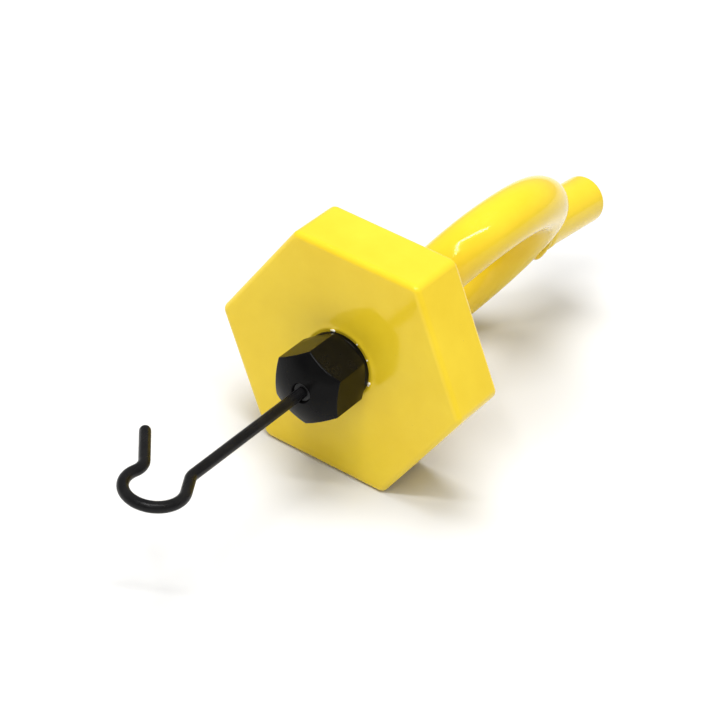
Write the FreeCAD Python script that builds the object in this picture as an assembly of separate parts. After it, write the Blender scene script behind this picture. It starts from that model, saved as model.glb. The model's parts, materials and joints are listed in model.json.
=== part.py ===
import FreeCAD, Part
import math
import os

# Hook-pull tool: a thick hexagonal plate on a threaded shank, with a domed nut and a
# swivelling wire hook in front, and a round-bar eye with a tail stud behind.
# +X runs along the shank towards the hook, +Y to the right as seen from the hook,
# and +Z up. The origin is the centre of the plate's front face. Lengths in mm.
# The tool lies on one flat of the plate and on the lowest point of the eye.

V = FreeCAD.Vector

# Hexagonal plate, standing on one flat
PLATE_FLATS = 63.5
PLATE_THICK = 19.05
PLATE_EDGE = 1.7

# Shank with a 7/16-14 thread, kept plain here, and a neck behind the plate
THREAD_R = 5.55
SHANK_FRONT = 9.6
NECK_R = 7.1
BORE_R = 3.6
BORE_BOTTOM = -24.0
SEAT_GAP = 0.05

# Eye of bent round bar, and the tail stud beyond it
BAR_R = 7.3
TAIL_R = 7.0
TAIL_ROOT_R = 7.2
TAIL_ROOT_END = 37.0
EYE_CENTRE = -61.8
EYE_TURN = 62.6
EYE_LEAN = 4.3
TAIL_END = 61.2
TAIL_EDGE = 0.8
WELD_LEG = 2.2

# Washer and domed nut
WASHER_R = 9.4
WASHER_THICK = 1.6
NUT_FLATS = 18.5
NUT_DOME_R = 18.5
NUT_TOP = 17.2
NUT_INSIDE = 11.9
NUT_HOLE_R = 2.4
NUT_TURNED = 35.0
NUT_CHAMFER = 0.9

# Wire hook, in the XY plane
WIRE_R = 1.5
WIRE_END = -22.6
HOOK_KINK = 26.5
KINK_BEND = 5.0
BOWL_X = 72.4
BOWL_Y = -3.8
BOWL_R = 7.5
BOWL_STOP = -105.5
TIP_BEND = 5.5
TIP_FLARE = 36.2
TIP_LENGTH = 11.6

# Pieces inside the shank and the nut
SLEEVE_WALL = 0.3
PAD_THICK = 0.9
COLLAR_R = 2.9
COLLAR_LENGTH = 5.0
COLLAR_FRONT = -17.6
PIN_R = 0.5
LOOSE = 0.3
SEAT_THICK = 0.8
SPRING_WIRE_R = 0.4
SPRING_COILS = 9
THRUST_THICK = 0.8
THRUST_R = 5.2
SEAL_BACK = 9.9
RUNNING = 0.06


def rod(radius, x_from, x_to):
    """Round bar along the shank's axis."""
    return Part.makeCylinder(radius, x_to - x_from, V(x_from, 0, 0), V(1, 0, 0))


def tube(outer, inner, x_from, x_to):
    """Round ring or sleeve along the shank's axis."""
    return rod(outer, x_from, x_to).cut(rod(inner, x_from - 1, x_to + 1))


def hexagon(across_flats, x_from, x_to, first_corner):
    """Hexagonal bar along the shank's axis, its first corner turned up from +Y."""
    corner = across_flats / math.sqrt(3)
    points = []
    for side in range(7):
        angle = math.radians(first_corner + 60 * side)
        points.append(V(x_from, corner * math.cos(angle), corner * math.sin(angle)))
    return Part.Face(Part.makePolygon(points)).extrude(V(x_to - x_from, 0, 0))


def turned(outline):
    """Solid of revolution about the shank's axis from (x, radius) points."""
    points = [V(x, radius, 0) for x, radius in outline]
    points.append(points[0])
    face = Part.Face(Part.makePolygon(points))
    return face.revolve(V(0, 0, 0), V(1, 0, 0), 360)


def make_hex_plate():
    plate = hexagon(PLATE_FLATS, -PLATE_THICK, 0, 0)
    plate = plate.makeFillet(PLATE_EDGE, plate.Edges)
    return plate.cut(rod(THREAD_R + SEAT_GAP, -PLATE_THICK - 1, 1))


# The eye's plane holds the shank's axis and EYE_ACROSS, and leans about EYE_ACROSS.
turn = math.radians(EYE_TURN)
lean = math.radians(EYE_LEAN)
EYE_ACROSS = V(0, math.cos(turn), math.sin(turn))
SQUARE_NORMAL = V(0, -math.sin(turn), math.cos(turn))
EYE_BACK = V(-1, 0, 0) * math.cos(lean) - SQUARE_NORMAL * math.sin(lean)
EYE_NORMAL = EYE_BACK.cross(EYE_ACROSS)
EYE_MID = V(EYE_CENTRE, 0, 0)
# The eye is as large as lets its lowest point lie level with the plate's lowest flat.
EYE_R = (PLATE_FLATS / 2 - BAR_R) / math.hypot(EYE_ACROSS.z, EYE_BACK.z)


def eye(extra=0.0):
    """The round-bar eye, with its bar grown by extra."""
    return Part.makeTorus(EYE_R, BAR_R + extra, EYE_MID, EYE_NORMAL)


def tail_bar(radius, start, end):
    """A stretch of the tail's bar, between two distances from the eye's centre."""
    return Part.makeCylinder(radius, end - start, EYE_MID + EYE_BACK * start, EYE_BACK)


def tail_root(extra=0.0):
    """The welded root of the tail, a little thicker than its free length."""
    return tail_bar(TAIL_ROOT_R + extra, EYE_R + 1.5, TAIL_ROOT_END)


def neck_bar(extra=0.0):
    """The neck's bar, from the plate's back to inside the eye's bar."""
    return rod(NECK_R + extra, EYE_CENTRE + EYE_R + 1.5, -PLATE_THICK)


def make_tail():
    free = tail_bar(TAIL_R, TAIL_ROOT_END - 1, TAIL_END)
    rim = [edge for edge in free.Edges
           if (edge.CenterOfMass - EYE_MID).Length > TAIL_END - 1]
    free = free.makeFillet(TAIL_EDGE, rim)
    return tail_root().fuse(free).cut(eye()).removeSplitter()


def make_shank():
    shank = neck_bar().cut(eye())
    shank = shank.fuse(rod(THREAD_R, -PLATE_THICK, SHANK_FRONT))
    return shank.cut(rod(BORE_R, BORE_BOTTOM, SHANK_FRONT + 1)).removeSplitter()


def eye_weld(bar, swollen_bar):
    """Bead in the corner between a straight bar and the eye."""
    return swollen_bar.common(eye(WELD_LEG * 0.8)).cut(bar).cut(eye())


def make_plate_weld():
    """Fillet bead between the neck and the back of the plate."""
    back = -PLATE_THICK
    leg = 1.5 * WELD_LEG
    bulge = 0.62 * leg
    return turned([
        (back, NECK_R),
        (back, NECK_R + leg),
        (back - bulge, NECK_R + bulge),
        (back - leg, NECK_R),
    ])


def make_nut():
    corner = NUT_FLATS / math.sqrt(3)
    body = hexagon(NUT_FLATS, WASHER_THICK, NUT_TOP, NUT_TURNED)
    dome = Part.makeSphere(NUT_DOME_R, V(NUT_TOP - NUT_DOME_R, 0, 0))
    base = turned([
        (WASHER_THICK, 0),
        (WASHER_THICK, corner - 2 * NUT_CHAMFER),
        (WASHER_THICK + NUT_CHAMFER, corner + 0.01),
        (NUT_TOP + 1, corner + 0.01),
        (NUT_TOP + 1, 0),
    ])
    body = body.common(dome).common(base)
    body = body.cut(rod(THREAD_R + RUNNING, WASHER_THICK - 1, NUT_INSIDE))
    return body.cut(rod(NUT_HOLE_R, NUT_INSIDE - 1, NUT_TOP + 1))


def hook_path():
    """Centre line of the hook: shank, kink, bowl, back bend and flared tip."""
    kink = math.radians(HOOK_KINK)
    bowl = V(BOWL_X, BOWL_Y, 0)

    def on_bowl(angle, radius=BOWL_R):
        return bowl + V(radius * math.cos(angle), radius * math.sin(angle), 0)

    # The bowl is entered where its tangent has the kink's slope.
    entry = math.pi / 2 + kink
    bowl_start = on_bowl(entry)
    kink_x = bowl_start.x - bowl_start.y / math.tan(kink)
    # A small arc rounds the kink between the straight wire and the sloping one.
    setback = KINK_BEND * math.tan(kink / 2)
    bend_start = V(kink_x - setback, 0, 0)
    bend_mid = V(bend_start.x + KINK_BEND * math.sin(kink / 2), KINK_BEND * (1 - math.cos(kink / 2)), 0)
    bend_end = V(kink_x + setback * math.cos(kink), setback * math.sin(kink), 0)
    stop = math.radians(BOWL_STOP)
    bowl_mid = on_bowl((entry + stop) / 2)
    bowl_stop = on_bowl(stop)
    # The back bend touches the bowl from outside and turns into the flared tip.
    bend_centre = on_bowl(stop, BOWL_R + TIP_BEND)
    first = stop + math.pi
    last = math.pi / 2 + math.radians(TIP_FLARE)
    middle = (first + last) / 2

    def on_bend(angle):
        return bend_centre + V(TIP_BEND * math.cos(angle), TIP_BEND * math.sin(angle), 0)

    flare = math.radians(180 + TIP_FLARE)
    tip_start = on_bend(last)
    tip = tip_start + V(TIP_LENGTH * math.cos(flare), TIP_LENGTH * math.sin(flare), 0)
    edges = [
        Part.LineSegment(V(WIRE_END, 0, 0), bend_start).toShape(),
        Part.Arc(bend_start, bend_mid, bend_end).toShape(),
        Part.LineSegment(bend_end, bowl_start).toShape(),
        Part.Arc(bowl_start, bowl_mid, bowl_stop).toShape(),
        Part.Arc(bowl_stop, on_bend(middle), tip_start).toShape(),
        Part.LineSegment(tip_start, tip).toShape(),
    ]
    return Part.Wire(edges), tip


def make_hook_wire():
    path, tip = hook_path()
    profile = Part.Wire(Part.makeCircle(WIRE_R, V(WIRE_END, 0, 0), V(1, 0, 0)))
    wire = path.makePipeShell([profile], True, False)
    wire = Part.Solid(wire) if wire.ShapeType == "Shell" else wire
    wire = wire.fuse(Part.makeSphere(WIRE_R, tip))
    return wire.cut(collar_pin(PIN_R))


def collar_pin(radius):
    """Cross pin that holds the stop collar on the wire."""
    middle = COLLAR_FRONT - COLLAR_LENGTH / 2
    reach = COLLAR_R - 0.1
    return Part.makeCylinder(radius, 2 * reach, V(middle, -reach, 0), V(0, 1, 0))


def make_stop_collar():
    collar = tube(COLLAR_R, WIRE_R, COLLAR_FRONT - COLLAR_LENGTH, COLLAR_FRONT)
    return collar.cut(collar_pin(PIN_R))


def make_spring():
    """Compression spring between the spring seat and the thrust washer."""
    mean_r = 2.45
    back = COLLAR_FRONT + LOOSE + SEAT_THICK + SPRING_WIRE_R + 0.05
    front = SEAL_BACK - SPRING_WIRE_R - 0.1
    length = front - back
    helix = Part.makeLongHelix(length / SPRING_COILS, length, mean_r, 0, False)
    profile = Part.Wire(Part.makeCircle(SPRING_WIRE_R, V(mean_r, 0, 0), V(0, 1, 0)))
    spring = Part.Wire(helix).makePipeShell([profile], True, True)
    spring = Part.Solid(spring) if spring.ShapeType == "Shell" else spring
    spring.rotate(V(0, 0, 0), V(0, 1, 0), 90)
    spring.translate(V(back, 0, 0))
    return spring


sleeve_inner = BORE_R - SLEEVE_WALL
seat_back = COLLAR_FRONT + LOOSE
thrust_back = SEAL_BACK + 0.4
shapes = {
    "hex_plate": make_hex_plate(),
    "shank": make_shank(),
    "eye_ring": eye(),
    "tail_stud": make_tail(),
    "plate_weld": make_plate_weld(),
    "neck_weld": eye_weld(neck_bar(), neck_bar(WELD_LEG)),
    "tail_weld": eye_weld(tail_root(), tail_root(WELD_LEG)),
    "base_washer": tube(WASHER_R, THREAD_R + SEAT_GAP, 0, WASHER_THICK),
    "bore_sleeve": tube(BORE_R, sleeve_inner, BORE_BOTTOM + PAD_THICK, SHANK_FRONT - 0.4),
    "buffer_pad": rod(BORE_R, BORE_BOTTOM, BORE_BOTTOM + PAD_THICK),
    "nut": make_nut(),
    "nose_bush": tube(NUT_HOLE_R, WIRE_R + RUNNING, NUT_INSIDE, NUT_TOP - 0.9),
    "thrust_washer": tube(THRUST_R, WIRE_R + LOOSE, thrust_back, thrust_back + THRUST_THICK),
    "wire_seal": tube(THRUST_R - 1, WIRE_R + RUNNING, SEAL_BACK, thrust_back),
    "hook_spring": make_spring(),
    "spring_seat": tube(COLLAR_R, WIRE_R + LOOSE, seat_back, seat_back + SEAT_THICK),
    "stop_collar": make_stop_collar(),
    "collar_pin": collar_pin(PIN_R),
    "hook_wire": make_hook_wire(),
}

os.makedirs("parts", exist_ok=True)
for node, shape in shapes.items():
    shape.exportStep("parts/" + node + ".step")
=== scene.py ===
import json
import math

import bpy
from mathutils import Matrix, Vector, noise


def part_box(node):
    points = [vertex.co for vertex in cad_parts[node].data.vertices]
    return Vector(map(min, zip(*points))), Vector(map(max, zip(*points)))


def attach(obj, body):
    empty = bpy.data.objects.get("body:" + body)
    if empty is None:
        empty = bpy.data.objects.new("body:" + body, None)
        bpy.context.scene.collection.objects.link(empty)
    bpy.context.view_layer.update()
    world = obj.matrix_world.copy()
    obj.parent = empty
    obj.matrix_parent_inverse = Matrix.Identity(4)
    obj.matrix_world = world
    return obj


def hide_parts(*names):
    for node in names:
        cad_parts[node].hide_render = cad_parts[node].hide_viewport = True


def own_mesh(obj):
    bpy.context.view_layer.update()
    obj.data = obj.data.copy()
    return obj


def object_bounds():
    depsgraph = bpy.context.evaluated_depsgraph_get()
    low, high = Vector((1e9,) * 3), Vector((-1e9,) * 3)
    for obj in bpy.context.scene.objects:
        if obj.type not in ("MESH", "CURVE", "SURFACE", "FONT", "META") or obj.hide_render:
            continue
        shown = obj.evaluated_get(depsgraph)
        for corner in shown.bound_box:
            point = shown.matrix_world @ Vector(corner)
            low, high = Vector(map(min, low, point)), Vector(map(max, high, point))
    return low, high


# The hook-pull tool lies on one flat of its hexagonal plate and on the lowest point of
# its eye. +X runs along the shank towards the wire hook. Lengths are in metres, except
# in the tables that say millimetres.

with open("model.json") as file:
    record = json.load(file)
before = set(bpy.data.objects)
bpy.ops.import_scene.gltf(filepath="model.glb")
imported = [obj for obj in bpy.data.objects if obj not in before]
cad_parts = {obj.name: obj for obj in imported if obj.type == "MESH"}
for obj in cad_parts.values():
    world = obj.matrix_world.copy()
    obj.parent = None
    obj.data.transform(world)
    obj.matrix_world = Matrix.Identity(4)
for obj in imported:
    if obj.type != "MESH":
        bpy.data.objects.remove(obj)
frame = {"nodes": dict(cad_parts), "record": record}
cad_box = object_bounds()

MM = 0.001
MOUNTS = {mount["name"]: mount for mount in frame["record"]["mounts"]}

# Plate and washer
EDGE = 1.7 * MM
CORNER = 2.4 * MM
HOLE_R = 5.6 * MM
PLATE_LOW, PLATE_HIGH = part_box("hex_plate")
PLATE_FLATS = PLATE_HIGH.z - PLATE_LOW.z
WASHER_LOW, WASHER_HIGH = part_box("base_washer")
WASHER_R = WASHER_HIGH.z

# Lip of paint around the washer, in millimetres: distance beyond its edge, and height
LIP = ((0.35, 0.20), (0.75, 0.30), (1.2, 0.20), (1.8, 0.05), (2.6, 0.0))
LIP_END = 3.4 * MM
LIP_GRAIN = 260

# Flakes at the washer's edge: degrees around it, and size in millimetres
FLAKES = ((106, 0.55), (109.5, 0.35), (-5, 0.5), (-9, 0.3), (34, 0.28), (62, 0.25))

# Shank and its thread
THREAD_R = 5.55 * MM
THREAD_DEPTH = 0.95 * MM
PITCH = 25.4 / 14 * MM
RINGS_A_TURN = 10
GROOVE_SLOPE = 2.6
BORE_R = 3.6 * MM
NECK_R = 7.1 * MM
SHANK_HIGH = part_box("shank")[1]
BORE_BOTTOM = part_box("buffer_pad")[0].x

# Nut
NUT_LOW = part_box("nut")[0]
NUT_FLATS = 18.5 * MM
NUT_TURNED = 35.0
NUT_DOME_R = 18.5 * MM
NUT_TOP = 17.2 * MM
NUT_HOLE_R = 2.4 * MM
NUT_BLEND = 0.35 * MM

# Eye and tail
BAR_R = 7.3 * MM
TAIL_R = 7.0 * MM
TAIL_ROOT_R = 7.2 * MM
TAIL_ROOT_END = 37.0 * MM
EYE_MID = Vector(MOUNTS["eye"]["pos_m"])
EYE_NORMAL = Vector(MOUNTS["eye"]["axis"]).normalized()
EYE_BACK = Vector(MOUNTS["tail_pin"]["axis"]).normalized()
EYE_ACROSS = EYE_NORMAL.cross(EYE_BACK)
EYE_LOW, EYE_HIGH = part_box("eye_ring")
EYE_R = ((EYE_HIGH.x - EYE_LOW.x) / 2 - BAR_R) / abs(EYE_BACK.x)
EYE_UNEVEN = 0.006
EYE_GRAIN = 90
# The point on the eye that the strip lights face
EYE_LIT = Vector((-0.04, 0.01, 0.024))
TAIL_END = 61.2 * MM

# Weld beads: radius between the ripples and swell at their crests in millimetres, and how
# many ripples there are
EYE_BEAD = (1.00, 0.16, 34)
PLATE_BEAD = (2.0, 0.3, 30)

# Wire hook
WIRE_R = 1.5 * MM
WIRE_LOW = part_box("hook_wire")[0]
HOOK_KINK = math.radians(26.5)
KINK_BEND = 5.0 * MM
BOWL = Vector((72.4 * MM, -3.8 * MM, 0))
BOWL_R = 7.5 * MM
BOWL_STOP = math.radians(-105.5)
TIP_BEND = 5.5 * MM
TIP_FLARE = math.radians(36.2)
TIP_LENGTH = 11.6 * MM

# Spring
SPRING_R = 2.45 * MM
SPRING_WIRE = 0.4 * MM
SPRING_COILS = 9
SPRING_LOW, SPRING_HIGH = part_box("hook_spring")


# ---------------------------------------------------------------- mesh tools

def mesh_piece(name, points, faces, body, node):
    """A smooth-shaded mesh on a body, which stands for a CAD node if one is named."""
    mesh = bpy.data.meshes.new(name)
    mesh.from_pydata([tuple(point) for point in points], [], faces)
    mesh.validate()
    mesh.shade_smooth()
    piece = bpy.data.objects.new(name, mesh)
    bpy.context.scene.collection.objects.link(piece)
    weighted = piece.modifiers.new("weighted_normals", "WEIGHTED_NORMAL")
    weighted.weight = 80
    weighted.keep_sharp = True
    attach(piece, body)
    if node:
        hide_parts(node)
    return piece


def skin(rings, closed=False, capped=False):
    """Points and faces that join rings of equal counts, in order."""
    count = len(rings[0])
    points = [point for ring in rings for point in ring]
    faces = []
    spans = len(rings) if closed else len(rings) - 1
    for span in range(spans):
        here = span * count
        there = (span + 1) % len(rings) * count
        for k in range(count):
            after = (k + 1) % count
            faces.append((here + k, here + after, there + after, there + k))
    if capped:
        faces.append(tuple(reversed(range(count))))
        last = (len(rings) - 1) * count
        faces.append(tuple(range(last, last + count)))
    return points, faces


def circle(x, radius, count, start=0.0):
    """A ring about the shank's axis."""
    ring = []
    for k in range(count):
        angle = start + 2 * math.pi * k / count
        ring.append(Vector((x, radius * math.cos(angle), radius * math.sin(angle))))
    return ring


def hexagon(x, across_flats, rounding, turned, steps_flat=8, steps_corner=6):
    """A hexagon about the shank's axis, its corners rounded, x along the axis."""
    ring = []
    centre = (across_flats / 2 - rounding) / math.cos(math.pi / 6)
    for side in range(6):
        corner = math.radians(turned + 60 * side)
        middle = Vector((x, centre * math.cos(corner), centre * math.sin(corner)))
        for step in range(steps_corner + 1):
            angle = corner + math.radians(-30 + 60 * step / steps_corner)
            out = Vector((0, rounding * math.cos(angle), rounding * math.sin(angle)))
            ring.append(middle + out)
        following = math.radians(turned + 60 * (side + 1))
        centre_next = Vector((x, centre * math.cos(following), centre * math.sin(following)))
        angle = corner + math.radians(30)
        out = Vector((0, rounding * math.cos(angle), rounding * math.sin(angle)))
        for step in range(1, steps_flat):
            ring.append((middle + out).lerp(centre_next + out, step / steps_flat))
    return ring


def on_circle(ring, radius):
    """The ring's directions from the axis, all at one radius."""
    moved = []
    for point in ring:
        out = Vector((0, point.y, point.z)).normalized()
        moved.append(Vector((point.x, 0, 0)) + out * radius)
    return moved


def at(ring, x):
    """The ring, moved along the axis."""
    return [Vector((x, point.y, point.z)) for point in ring]


def sweep(path, radius_at, count=32, closed=False):
    """Rings about a path, with the section's direction carried along it."""
    rings = []
    total = len(path)
    first = path[1] - path[0]
    side = first.orthogonal().normalized()
    for k, point in enumerate(path):
        if closed:
            along = path[(k + 1) % total] - path[k - 1]
        else:
            along = path[min(k + 1, total - 1)] - path[max(k - 1, 0)]
        along.normalize()
        side = (side - along * side.dot(along)).normalized()
        other = along.cross(side)
        radius = radius_at(k)
        ring = []
        for j in range(count):
            angle = 2 * math.pi * j / count
            ring.append(point + (side * math.cos(angle) + other * math.sin(angle)) * radius)
        rings.append(ring)
    return rings


def rounded_end(path, radius, outward, steps=6):
    """Points and radii that close a swept bar with a half-round end."""
    points, radii = [], []
    # The last ring stops short of the pole, so that its cap keeps an area.
    short_of_pole = 0.985
    for step in range(1, steps + 1):
        angle = math.pi / 2 * step / steps * short_of_pole
        points.append(path[-1] + outward * radius * math.sin(angle))
        radii.append(radius * math.cos(angle))
    return points, radii


def ripple(k, ripples, count):
    """A weld's swell at step k of count: 0 between its ripples, 1 at their crests."""
    phase = (k * ripples / count) % 1.0
    return math.sqrt(abs(math.sin(math.pi * phase)))


# ---------------------------------------------------------------- pieces

def build_plate():
    """The plate, with rounded edges and a lip of paint around the washer."""
    front, back = PLATE_HIGH.x, PLATE_LOW.x
    outline = hexagon(0, PLATE_FLATS, CORNER, 0)
    rings = []
    for radius in (HOLE_R, WASHER_R * 0.9, WASHER_R + 0.1 * MM):
        rings.append(at(on_circle(outline, radius), front))
    for beyond, height in LIP:
        ring = on_circle(outline, WASHER_R + beyond * MM)
        lip = []
        for point in ring:
            # The lip is uneven, as paint squeezed up by a turned washer is.
            swell = 0.6 + 0.9 * noise.noise(Vector((0, point.y, point.z)) * LIP_GRAIN)
            lip.append(Vector((front + height * MM * max(swell, 0.05), point.y, point.z)))
        rings.append(lip)
    inner = at(on_circle(outline, WASHER_R + LIP_END), front)
    inset = hexagon(0, PLATE_FLATS - 2 * EDGE, CORNER - EDGE, 0)
    for step in range(5):
        share = step / 5
        rings.append([a.lerp(Vector((front, b.y, b.z)), share) for a, b in zip(inner, inset)])
    turns = 6
    for step in range(turns + 1):
        angle = math.pi / 2 * step / turns
        inward = EDGE * (1 - math.sin(angle))
        ring = hexagon(0, PLATE_FLATS - 2 * inward, CORNER - inward, 0)
        rings.append(at(ring, front - EDGE * (1 - math.cos(angle))))
    for share in (0.33, 0.66):
        rings.append(at(outline, front - EDGE + (back - front + 2 * EDGE) * share))
    for step in range(turns + 1):
        angle = math.pi / 2 * step / turns
        inward = EDGE * (1 - math.cos(angle))
        ring = hexagon(0, PLATE_FLATS - 2 * inward, CORNER - inward, 0)
        rings.append(at(ring, back + EDGE * (1 - math.sin(angle))))
    far = on_circle(outline, HOLE_R)
    for step in range(1, 5):
        rings.append([Vector((back, a.y, a.z)).lerp(Vector((back, b.y, b.z)), step / 4)
                      for a, b in zip(inset, far)])
    points, faces = skin(rings, closed=True)
    return mesh_piece("plate", points, faces, "frame", "hex_plate")


def lathe(name, profile, body, node, count=72):
    """A piece turned about the shank's axis from a closed (x, radius) outline."""
    points, faces = skin([circle(x, radius, count) for x, radius in profile], closed=True)
    return mesh_piece(name, points, faces, body, node)


def chamfered(x_low, x_high, inner, outer, edge):
    """Outline of a washer or sleeve with broken edges."""
    return [
        (x_low, inner + edge), (x_low, outer - edge), (x_low + edge * 0.3, outer - edge * 0.3),
        (x_low + edge, outer), (x_high - edge, outer), (x_high - edge * 0.3, outer - edge * 0.3),
        (x_high, outer - edge), (x_high, inner + edge),
        (x_high - edge, inner), (x_low + edge, inner),
    ]


def build_neck():
    """The painted neck, and the plain length that passes through the plate."""
    count = 72
    rings = [circle(EYE_MID.x + EYE_R, NECK_R, count), circle(PLATE_LOW.x, NECK_R, count),
             circle(PLATE_LOW.x, THREAD_R, count), circle(WASHER_LOW.x, THREAD_R, count),
             circle(WASHER_LOW.x, BORE_R, count), circle(BORE_BOTTOM, BORE_R, count)]
    points, faces = skin(rings, capped=True)
    return mesh_piece("painted_neck", points, faces, "frame", "shank")


def build_thread():
    """The rolled thread in front of the plate, bored through for the wire."""
    count = 72
    front, back = SHANK_HIGH.x, WASHER_LOW.x
    run_out = 0.8 * MM
    lead_in = 0.5 * MM
    steps = int((front - back) / PITCH * RINGS_A_TURN)
    rings = [circle(back, BORE_R, count), circle(back, THREAD_R, count)]
    for step in range(1, steps + 1):
        x = back + (front - back) * step / steps
        fade = max(0.0, min(1.0, (front - x) / run_out, (x - back) / run_out))
        chamfer = max(0.0, lead_in - (front - x))
        ring = []
        for k in range(count):
            turn = k / count
            phase = (x / PITCH - turn) % 1.0
            groove = max(0.0, 1.0 - abs(phase - 0.5) * GROOVE_SLOPE)
            radius = THREAD_R - THREAD_DEPTH * groove * fade - chamfer
            angle = 2 * math.pi * turn
            ring.append(Vector((x, radius * math.cos(angle), radius * math.sin(angle))))
        rings.append(ring)
    rings.append(circle(front, BORE_R, count))
    points, faces = skin(rings, closed=True)
    return mesh_piece("rolled_thread", points, faces, "frame", "shank")


def build_eye():
    """The bent round bar, very slightly uneven as a hand-bent bar is."""
    rings = []
    around, section = 144, 40
    for k in range(around):
        turn = 2 * math.pi * k / around
        out = EYE_BACK * math.cos(turn) + EYE_ACROSS * math.sin(turn)
        middle = EYE_MID + out * EYE_R
        ring = []
        for j in range(section):
            angle = 2 * math.pi * j / section
            away = out * math.cos(angle) + EYE_NORMAL * math.sin(angle)
            uneven = 1 + EYE_UNEVEN * noise.noise((middle + away * BAR_R) * EYE_GRAIN)
            ring.append(middle + away * BAR_R * uneven)
        rings.append(ring)
    points, faces = skin(rings, closed=True)
    return mesh_piece("eye_bar", points, faces, "frame", "eye_ring")


def build_tail():
    """The straight tail, a little thicker at its root, with a softened sawn end."""
    start = EYE_R + 2.0 * MM
    end = TAIL_END
    edge = 0.9 * MM
    blend = 0.2 * MM
    profile = [(start, TAIL_ROOT_R), (TAIL_ROOT_END - blend, TAIL_ROOT_R), (TAIL_ROOT_END, TAIL_R)]
    for share in (0.3, 0.6, 0.95):
        profile.append((TAIL_ROOT_END + (end - edge - TAIL_ROOT_END) * share, TAIL_R))
    for step in range(6):
        angle = math.pi / 2 * step / 5
        profile.append((end - edge * (1 - math.sin(angle)), TAIL_R - edge * (1 - math.cos(angle))))
    profile.append((end, TAIL_R * 0.5))
    profile.append((end, TAIL_R * 0.1))
    rings = []
    count = 56
    for distance, radius in profile:
        middle = EYE_MID + EYE_BACK * distance
        ring = []
        for k in range(count):
            angle = 2 * math.pi * k / count
            away = EYE_ACROSS * math.cos(angle) + EYE_NORMAL * math.sin(angle)
            ring.append(middle + away * radius)
        rings.append(ring)
    points, faces = skin(rings, capped=True)
    return mesh_piece("tail_bar", points, faces, "frame", "tail_stud")


def build_weld(name, node, back, across, normal, radius):
    """A rippled bead where a straight bar meets the eye's bar."""
    path, count = [], 180
    for k in range(count):
        angle = 2 * math.pi * k / count
        sideways = radius * math.cos(angle)
        upward = radius * math.sin(angle)
        reach = EYE_R + math.sqrt(BAR_R ** 2 - upward ** 2)
        path.append(EYE_MID + back * math.sqrt(reach ** 2 - sideways ** 2)
                    + across * sideways + normal * upward)
    thin, swell, ripples = EYE_BEAD

    def bead(k):
        return (thin + swell * ripple(k, ripples, count)) * MM

    points, faces = skin(sweep(path, bead, 16, closed=True), closed=True)
    return mesh_piece(name, points, faces, "frame", node)


def build_plate_weld():
    """The rippled fillet between the neck and the plate's back."""
    count = 216
    path = circle(PLATE_LOW.x - 0.7 * MM, NECK_R + 0.9 * MM, count)
    thin, swell, ripples = PLATE_BEAD

    def bead(k):
        return (thin + swell * ripple(k, ripples, count)) * MM

    points, faces = skin(sweep(path, bead, 18, closed=True), closed=True)
    return mesh_piece("plate_bead", points, faces, "frame", "plate_weld")


def build_nut():
    """The domed nut: six flats under a shallow crown, with softened edges."""
    base, inside = NUT_LOW.x, 11.9 * MM
    corner_r = 0.45 * MM

    def crown(ring):
        lifted = []
        for point in ring:
            out = math.hypot(point.y, point.z)
            x = NUT_TOP - NUT_DOME_R + math.sqrt(NUT_DOME_R ** 2 - out ** 2)
            lifted.append(Vector((x, point.y, point.z)))
        return lifted

    outline = hexagon(0, NUT_FLATS, corner_r, NUT_TURNED, 10, 5)
    inset = hexagon(0, NUT_FLATS - 2 * NUT_BLEND, corner_r * 0.4, NUT_TURNED, 10, 5)
    shoulder = crown(outline)
    chamfer_r = NUT_FLATS / 2 - 0.1 * MM
    rings = [at(on_circle(outline, THREAD_R + 0.1 * MM), base),
             at(on_circle(outline, chamfer_r), base)]
    foot = []
    for point in outline:
        out = math.hypot(point.y, point.z)
        foot.append(Vector((base + max(0.12 * MM, (out - chamfer_r) * 0.75), point.y, point.z)))
    rings.append(foot)
    for share in (0.3, 0.65):
        rings.append([a.lerp(b, share) for a, b in zip(foot, shoulder)])
    for step in range(6):
        angle = math.pi / 2 * step / 5
        sink = NUT_BLEND * (1 - math.sin(angle))
        ring = []
        for a, b in zip(outline, inset):
            mid = a.lerp(b, 1 - math.cos(angle))
            lifted = crown([mid])[0]
            ring.append(lifted - Vector((sink, 0, 0)))
        rings.append(ring)
    # The hole's mouth is eased in two steps from the rim to the hole's own radius.
    rim = NUT_HOLE_R + 0.40 * MM
    for share in (0.25, 0.5, 0.75, 0.93, 0.98, 1.0):
        rings.append(crown([Vector((0, a.y, a.z)).lerp(b, share)
                            for a, b in zip(inset, on_circle(outline, rim))]))
    top = crown([Vector((0, NUT_HOLE_R, 0))])[0].x
    rings.append(at(on_circle(outline, NUT_HOLE_R + 0.30 * MM), top - 0.35 * MM))
    rings.append(at(on_circle(outline, NUT_HOLE_R), top - 0.85 * MM))
    rings.append(at(on_circle(outline, NUT_HOLE_R), inside))
    rings.append(at(on_circle(outline, THREAD_R + 0.1 * MM), inside))
    points, faces = skin(rings, closed=True)
    return mesh_piece("domed_nut", points, faces, "nut", "nut")


def arc(centre, radius, first, last, steps):
    """Points round an arc in the hook's plane."""
    points = []
    for step in range(steps + 1):
        angle = first + (last - first) * step / steps
        points.append(centre + Vector((radius * math.cos(angle), radius * math.sin(angle), 0)))
    return points


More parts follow.
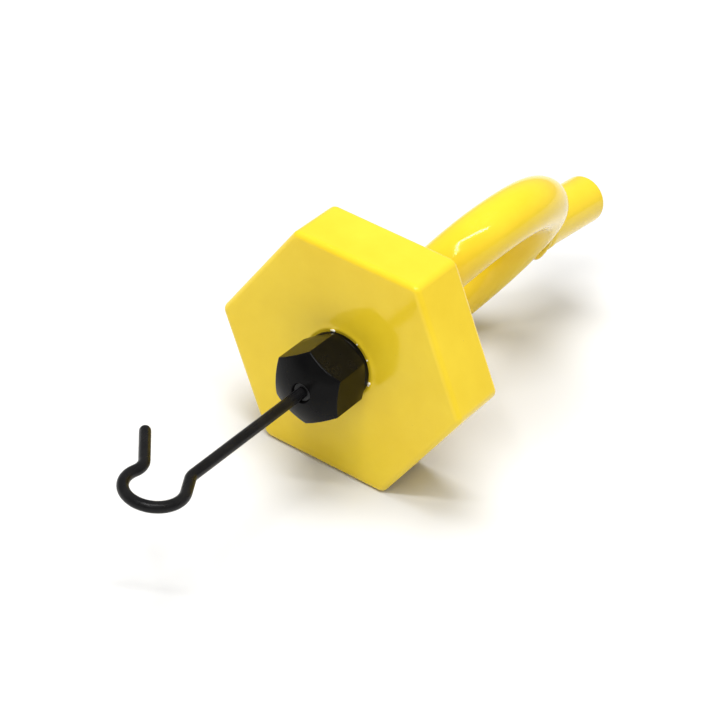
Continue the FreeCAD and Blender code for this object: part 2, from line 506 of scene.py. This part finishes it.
def build_hook():
    """The wire: straight shank, kink, round bowl, back bend and flared tip."""
    entry = math.pi / 2 + HOOK_KINK
    bowl_start = BOWL + Vector((BOWL_R * math.cos(entry), BOWL_R * math.sin(entry), 0))
    kink_x = bowl_start.x - bowl_start.y / math.tan(HOOK_KINK)
    setback = KINK_BEND * math.tan(HOOK_KINK / 2)
    bend_centre = Vector((kink_x - setback, KINK_BEND, 0))
    tip_centre = BOWL + Vector((math.cos(BOWL_STOP), math.sin(BOWL_STOP), 0)) * (BOWL_R + TIP_BEND)
    flare = math.pi + TIP_FLARE
    path = []
    for step in range(40):
        path.append(Vector((WIRE_LOW.x + (bend_centre.x - WIRE_LOW.x) * step / 40, 0, 0)))
    path += arc(bend_centre, KINK_BEND, -math.pi / 2, -math.pi / 2 + HOOK_KINK, 8)
    kink_end = path[-1]
    for step in range(1, 6):
        path.append(kink_end.lerp(bowl_start, step / 6))
    path += arc(BOWL, BOWL_R, entry, BOWL_STOP, 60)
    path += arc(tip_centre, TIP_BEND, BOWL_STOP + math.pi, math.pi / 2 + TIP_FLARE, 16)[1:]
    along = Vector((math.cos(flare), math.sin(flare), 0))
    tip_start = path[-1]
    for step in range(1, 13):
        path.append(tip_start + along * TIP_LENGTH * step / 12)
    radii = [WIRE_R] * len(path)
    end_points, end_radii = rounded_end(path, WIRE_R, along)
    path += end_points
    radii += end_radii
    points, faces = skin(sweep(path, lambda k: radii[k], 28), capped=True)
    return mesh_piece("wire_hook", points, faces, "hook", "hook_wire")


def build_spring():
    """The hook's return spring, built at rest. The real spring closes up as the hook is pulled;
    this one stays on the frame and doesn't follow the nut.
    """
    low = SPRING_LOW.x + SPRING_WIRE
    high = SPRING_HIGH.x - SPRING_WIRE
    steps = SPRING_COILS * 24
    path = []
    for step in range(steps + 1):
        turn = 2 * math.pi * SPRING_COILS * step / steps
        path.append(Vector((low + (high - low) * step / steps,
                            SPRING_R * math.sin(turn), SPRING_R * math.cos(turn))))
    points, faces = skin(sweep(path, lambda k: SPRING_WIRE, 10), capped=True)
    spring = mesh_piece("return_spring", points, faces, "frame", "hook_spring")
    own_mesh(spring)
    return spring


def build_chips():
    """Flakes of paint lifted at the washer's edge."""
    points, faces = [], []
    for place, size in FLAKES:
        angle = math.radians(place)
        radius = WASHER_R + 0.35 * MM
        middle = Vector((PLATE_HIGH.x + 0.28 * MM,
                         radius * math.cos(angle), radius * math.sin(angle)))
        rings = []
        for step in range(5):
            tilt = math.pi * (step + 0.3) / 4.6
            ring = []
            for k in range(10):
                turn = 2 * math.pi * k / 10
                bump = 1 + 0.5 * noise.noise(Vector((step, k, place)))
                away = Vector((0.5 * math.cos(tilt), math.sin(tilt) * math.cos(turn),
                               0.8 * math.sin(tilt) * math.sin(turn)))
                ring.append(middle + away * size * MM * bump)
            rings.append(ring)
        start = len(points)
        more, quads = skin(rings, capped=True)
        points += more
        faces += [tuple(start + k for k in face) for face in quads]
    return mesh_piece("paint_flakes", points, faces, "frame", None)


plate = build_plate()
neck = build_neck()
thread = build_thread()
eye = build_eye()
tail = build_tail()
neck_axis = Vector((1, 0, 0))
neck_bead = build_weld("neck_bead", "neck_weld", neck_axis, EYE_ACROSS,
                       neck_axis.cross(EYE_ACROSS), NECK_R)
tail_bead = build_weld("tail_bead", "tail_weld", EYE_BACK, EYE_ACROSS, EYE_NORMAL, TAIL_R)
plate_bead = build_plate_weld()
washer = lathe("round_washer", chamfered(WASHER_LOW.x, WASHER_HIGH.x, HOLE_R, WASHER_R, 0.3 * MM),
               "frame", "base_washer")
nut = build_nut()
hook = build_hook()
spring = build_spring()
flakes = build_chips()


# ---------------------------------------------------------------- materials

class Graph:
    """A material's node tree, with short calls for the nodes used here."""

    def __init__(self, name):
        self.material = bpy.data.materials.new(name)
        self.material.use_nodes = True
        self.tree = self.material.node_tree
        self.shader = self.tree.nodes["Principled BSDF"]
        self.where = self.tree.nodes.new("ShaderNodeTexCoord").outputs["Object"]

    def node(self, kind, **values):
        made = self.tree.nodes.new(kind)
        for key, value in values.items():
            setattr(made, key, value)
        return made

    def link(self, source, target):
        self.tree.links.new(source, target)

    def noise(self, scale, detail=3.0, rough=0.5, stretch=None):
        made = self.node("ShaderNodeTexNoise")
        made.inputs["Scale"].default_value = scale
        made.inputs["Detail"].default_value = detail
        made.inputs["Roughness"].default_value = rough
        where = self.where
        if stretch:
            mapping = self.node("ShaderNodeMapping")
            mapping.inputs["Scale"].default_value = stretch
            self.link(self.where, mapping.inputs["Vector"])
            where = mapping.outputs["Vector"]
        self.link(where, made.inputs["Vector"])
        return made.outputs["Fac"]

    def cells(self, scale):
        made = self.node("ShaderNodeTexVoronoi")
        made.inputs["Scale"].default_value = scale
        self.link(self.where, made.inputs["Vector"])
        return made.outputs["Distance"]

    def steps(self, value, low, high, to_low=0.0, to_high=1.0):
        made = self.node("ShaderNodeMapRange", clamp=True)
        for key, number in (("From Min", low), ("From Max", high),
                            ("To Min", to_low), ("To Max", to_high)):
            made.inputs[key].default_value = number
        self.link(value, made.inputs["Value"])
        return made.outputs["Result"]

    def multiply(self, a, b):
        made = self.node("ShaderNodeMath", operation="MULTIPLY")
        self.link(a, made.inputs[0])
        if isinstance(b, float):
            made.inputs[1].default_value = b
        else:
            self.link(b, made.inputs[1])
        return made.outputs["Value"]

    def mix(self, share, first, second):
        made = self.node("ShaderNodeMix", data_type="RGBA")
        self.link(share, made.inputs["Factor"])
        for socket, colour in (("A", first), ("B", second)):
            target = [s for s in made.inputs if s.name == socket and s.type == "RGBA"][0]
            if isinstance(colour, tuple):
                target.default_value = (*colour, 1.0)
            else:
                self.link(colour, target)
        return [s for s in made.outputs if s.type == "RGBA"][0]

    def bump(self, height, distance, strength=1.0, under=None):
        made = self.node("ShaderNodeBump")
        made.inputs["Distance"].default_value = distance
        made.inputs["Strength"].default_value = strength
        self.link(height, made.inputs["Height"])
        if under:
            self.link(under, made.inputs["Normal"])
        return made.outputs["Normal"]

    def set(self, **values):
        for key, value in values.items():
            self.shader.inputs[key.replace("_", " ")].default_value = value

    def finish(self, colour, roughness, normal):
        self.link(colour, self.shader.inputs["Base Color"])
        self.link(roughness, self.shader.inputs["Roughness"])
        self.link(normal, self.shader.inputs["Normal"])
        return self.material


def enamel():
    """Glossy yellow enamel: faint orange peel, pinholes and a few scuffs."""
    g = Graph("yellow_enamel")
    cloud = g.noise(45, 4, 0.6)
    colour = g.mix(g.steps(cloud, 0.3, 0.7), (0.83, 0.580, 0.020), (0.90, 0.655, 0.032))
    pits = g.steps(g.cells(520), 0.0, 0.085, 1.0, 0.0)
    rare = g.steps(g.noise(150, 2), 0.58, 0.66)
    speck = g.multiply(pits, rare)
    colour = g.mix(g.multiply(speck, 0.55), colour, (0.33, 0.20, 0.02))
    scuff = g.steps(g.noise(60, 5, 0.7, (1.0, 7.0, 1.2)), 0.70, 0.78)
    roughness = g.steps(scuff, 0.0, 1.0, 0.13, 0.30)
    peel = g.bump(g.noise(420, 2, 0.4), 0.030 * MM)
    normal = g.bump(speck, -0.05 * MM, 1.0, peel)
    g.set(IOR=1.58, Coat_Weight=0.15, Coat_Roughness=0.05, Coat_IOR=1.5,
          Specular_Tint=(1.0, 0.86, 0.45, 1.0))
    return g.finish(colour, roughness, normal)


def black_oxide():
    """Satin black oxide on turned and milled steel."""
    g = Graph("black_oxide")
    cloud = g.noise(160, 4, 0.6)
    colour = g.mix(g.steps(cloud, 0.3, 0.7), (0.0025, 0.0025, 0.0027), (0.0055, 0.0053, 0.005))
    grain = g.noise(900, 3, 0.6)
    roughness = g.steps(grain, 0.3, 0.7, 0.17, 0.25)
    g.set(IOR=1.5, Specular_IOR_Level=0.08)
    return g.finish(colour, roughness, g.bump(grain, 0.004 * MM))


def black_wire():
    """Semi-gloss black coating on drawn wire, with faint draw lines."""
    g = Graph("black_wire")
    cloud = g.noise(240, 3, 0.6)
    colour = g.mix(g.steps(cloud, 0.3, 0.7), (0.0045, 0.0045, 0.005), (0.010, 0.0095, 0.0095))
    lines = g.noise(900, 2, 0.5, (0.08, 1.0, 1.0))
    roughness = g.steps(lines, 0.3, 0.7, 0.24, 0.38)
    g.set(IOR=1.5, Specular_IOR_Level=0.16)
    return g.finish(colour, roughness, g.bump(lines, 0.015 * MM))


def steel(name, low, high, rough_low, rough_high):
    """Bare metal with turning marks."""
    g = Graph(name)
    marks = g.noise(1200, 3, 0.6, (1.0, 0.15, 0.15))
    colour = g.mix(g.steps(marks, 0.3, 0.7), low, high)
    roughness = g.steps(marks, 0.3, 0.7, rough_low, rough_high)
    g.set(Metallic=1.0)
    return g.finish(colour, roughness, g.bump(marks, 0.01 * MM))


def moulded(name, low, high):
    """Fine-grained rubber or nylon."""
    g = Graph(name)
    grain = g.noise(1500, 3, 0.6)
    colour = g.mix(g.steps(grain, 0.3, 0.7), low, high)
    roughness = g.steps(grain, 0.3, 0.7, 0.55, 0.72)
    return g.finish(colour, roughness, g.bump(grain, 0.02 * MM))


def flake():
    """Pale broken paint."""
    g = Graph("broken_paint")
    cloud = g.noise(1500, 3, 0.6)
    colour = g.mix(g.steps(cloud, 0.35, 0.65), (0.85, 0.78, 0.45), (0.95, 0.94, 0.86))
    roughness = g.steps(cloud, 0.3, 0.7, 0.35, 0.55)
    return g.finish(colour, roughness, g.bump(cloud, 0.03 * MM))


finishes = {
    "yellow_enamel": enamel(),
    "black_oxide": black_oxide(),
    "black_wire": black_wire(),
    "black_nylon": moulded("black_nylon", (0.012, 0.012, 0.012), (0.024, 0.024, 0.024)),
    "rubber_pad": moulded("rubber_pad", (0.018, 0.018, 0.018), (0.034, 0.033, 0.032)),
    "brass_sleeve": steel("brass_sleeve", (0.62, 0.44, 0.16), (0.78, 0.60, 0.26), 0.25, 0.38),
    "plain_steel": steel("plain_steel", (0.42, 0.43, 0.44), (0.60, 0.60, 0.61), 0.26, 0.42),
    "spring_steel": steel("spring_steel", (0.30, 0.31, 0.33), (0.44, 0.45, 0.47), 0.28, 0.42),
}
slot_of = {part["node"]: part["material_slot"] for part in frame["record"]["subparts"]}
for name, node in frame["nodes"].items():
    node.data.materials.clear()
    node.data.materials.append(finishes[slot_of[name]])
for piece in (plate, neck, eye, tail, neck_bead, tail_bead, plate_bead):
    piece.data.materials.append(finishes["yellow_enamel"])
for piece in (washer, nut, thread):
    piece.data.materials.append(finishes["black_oxide"])
hook.data.materials.append(finishes["black_wire"])
spring.data.materials.append(finishes["spring_steel"])
flakes.data.materials.append(flake())


# ---------------------------------------------------------------- stage, lights, camera

def build_floor():
    """A pale floor under the tool's lowest flat."""
    half = 3.0
    z = cad_box[0][2] - 0.02 * MM
    mesh = bpy.data.meshes.new("floor")
    corners = [(-half, -half, z), (half, -half, z), (half, half, z), (-half, half, z)]
    mesh.from_pydata(corners, [], [(0, 1, 2, 3)])
    floor = bpy.data.objects.new("floor", mesh)
    bpy.context.scene.collection.objects.link(floor)
    g = Graph("pale_floor")
    grain = g.noise(6, 3, 0.5)
    colour = g.mix(grain, (0.735, 0.735, 0.733), (0.755, 0.755, 0.753))
    g.set(IOR=1.3)
    roughness = g.steps(grain, 0, 1, 0.55, 0.65)
    floor.data.materials.append(g.finish(colour, roughness, g.bump(grain, 0.1 * MM)))


def soft_light(name, place, target, size, power):
    """A rectangular soft light that faces a point."""
    light = bpy.data.lights.new(name, "AREA")
    light.shape = "RECTANGLE"
    light.size, light.size_y = size
    light.energy = power
    made = bpy.data.objects.new(name, light)
    made.location = place
    made.rotation_euler = (Vector(target) - Vector(place)).to_track_quat("-Z", "Y").to_euler()
    bpy.context.scene.collection.objects.link(made)
    return made


def soft_sun(name, towards, spread, strength):
    """Even light over the whole floor, from a disc of sky spread degrees wide."""
    light = bpy.data.lights.new(name, "SUN")
    light.angle = math.radians(spread)
    light.energy = strength
    made = bpy.data.objects.new(name, light)
    made.rotation_euler = (-Vector(towards)).to_track_quat("-Z", "Y").to_euler()
    made.visible_glossy = False
    bpy.context.scene.collection.objects.link(made)
    return made


def strip_light(name, first, second, width, power):
    """A narrow light from one point to another, facing the eye."""
    first, second = Vector(first), Vector(second)
    along = (second - first).normalized()
    centre = (first + second) / 2
    towards = (EYE_LIT - centre).normalized()
    towards = (towards - along * towards.dot(along)).normalized()
    made = soft_light(name, centre, (0, 0, 0), ((second - first).length, width), power)
    turned = Matrix((along, (-towards).cross(along), -towards)).transposed()
    made.rotation_euler = turned.to_euler()
    return made


def build_camera():
    """A long lens in front, to the right and above, tipped a little about its line of sight."""
    azimuth, elevation, tip = math.radians(27.977), math.radians(34.220), math.radians(9.239)
    target = Vector((0.0, 5.965 * MM, 4.463 * MM))
    distance = 664.2 * MM
    level = math.cos(elevation)
    towards = Vector((level * math.cos(azimuth), level * math.sin(azimuth), math.sin(elevation)))
    data = bpy.data.cameras.new("camera")
    data.lens = 132.12
    data.sensor_width = 36
    data.clip_start = 0.01
    camera = bpy.data.objects.new("camera", data)
    camera.location = target + towards * distance
    rotation = (-towards).to_track_quat("-Z", "Y").to_matrix().to_4x4()
    camera.rotation_euler = (rotation @ Matrix.Rotation(tip, 4, "Z")).to_euler()
    bpy.context.scene.collection.objects.link(camera)
    bpy.context.scene.camera = camera


build_floor()
middle = (-0.02, 0, 0)
soft_sun("overhead", (-0.06, -0.22, 1.1), 38, 2.4)
back_right = soft_light("back_right", (-0.7, 0.75, 0.65), middle, (0.5, 0.5), 0.9)
back_right.visible_glossy = False
# Seen by the camera, the two strips reflect in the eye as one L-shaped highlight.
strip_light("strip_along", (0.104, 0.387, 0.832), (0.407, -0.131, 0.793), 0.06, 3.0)
strip_light("strip_across", (0.407, -0.131, 0.793), (0.619, 0.297, 0.567), 0.035, 1.3)
build_camera()
world = bpy.data.worlds.new("studio")
world.use_nodes = True
world.node_tree.nodes["Background"].inputs["Color"].default_value = (1, 1, 1, 1)
world.node_tree.nodes["Background"].inputs["Strength"].default_value = 0.36
bpy.context.scene.world = world
bpy.context.scene.view_settings.view_transform = "Standard"
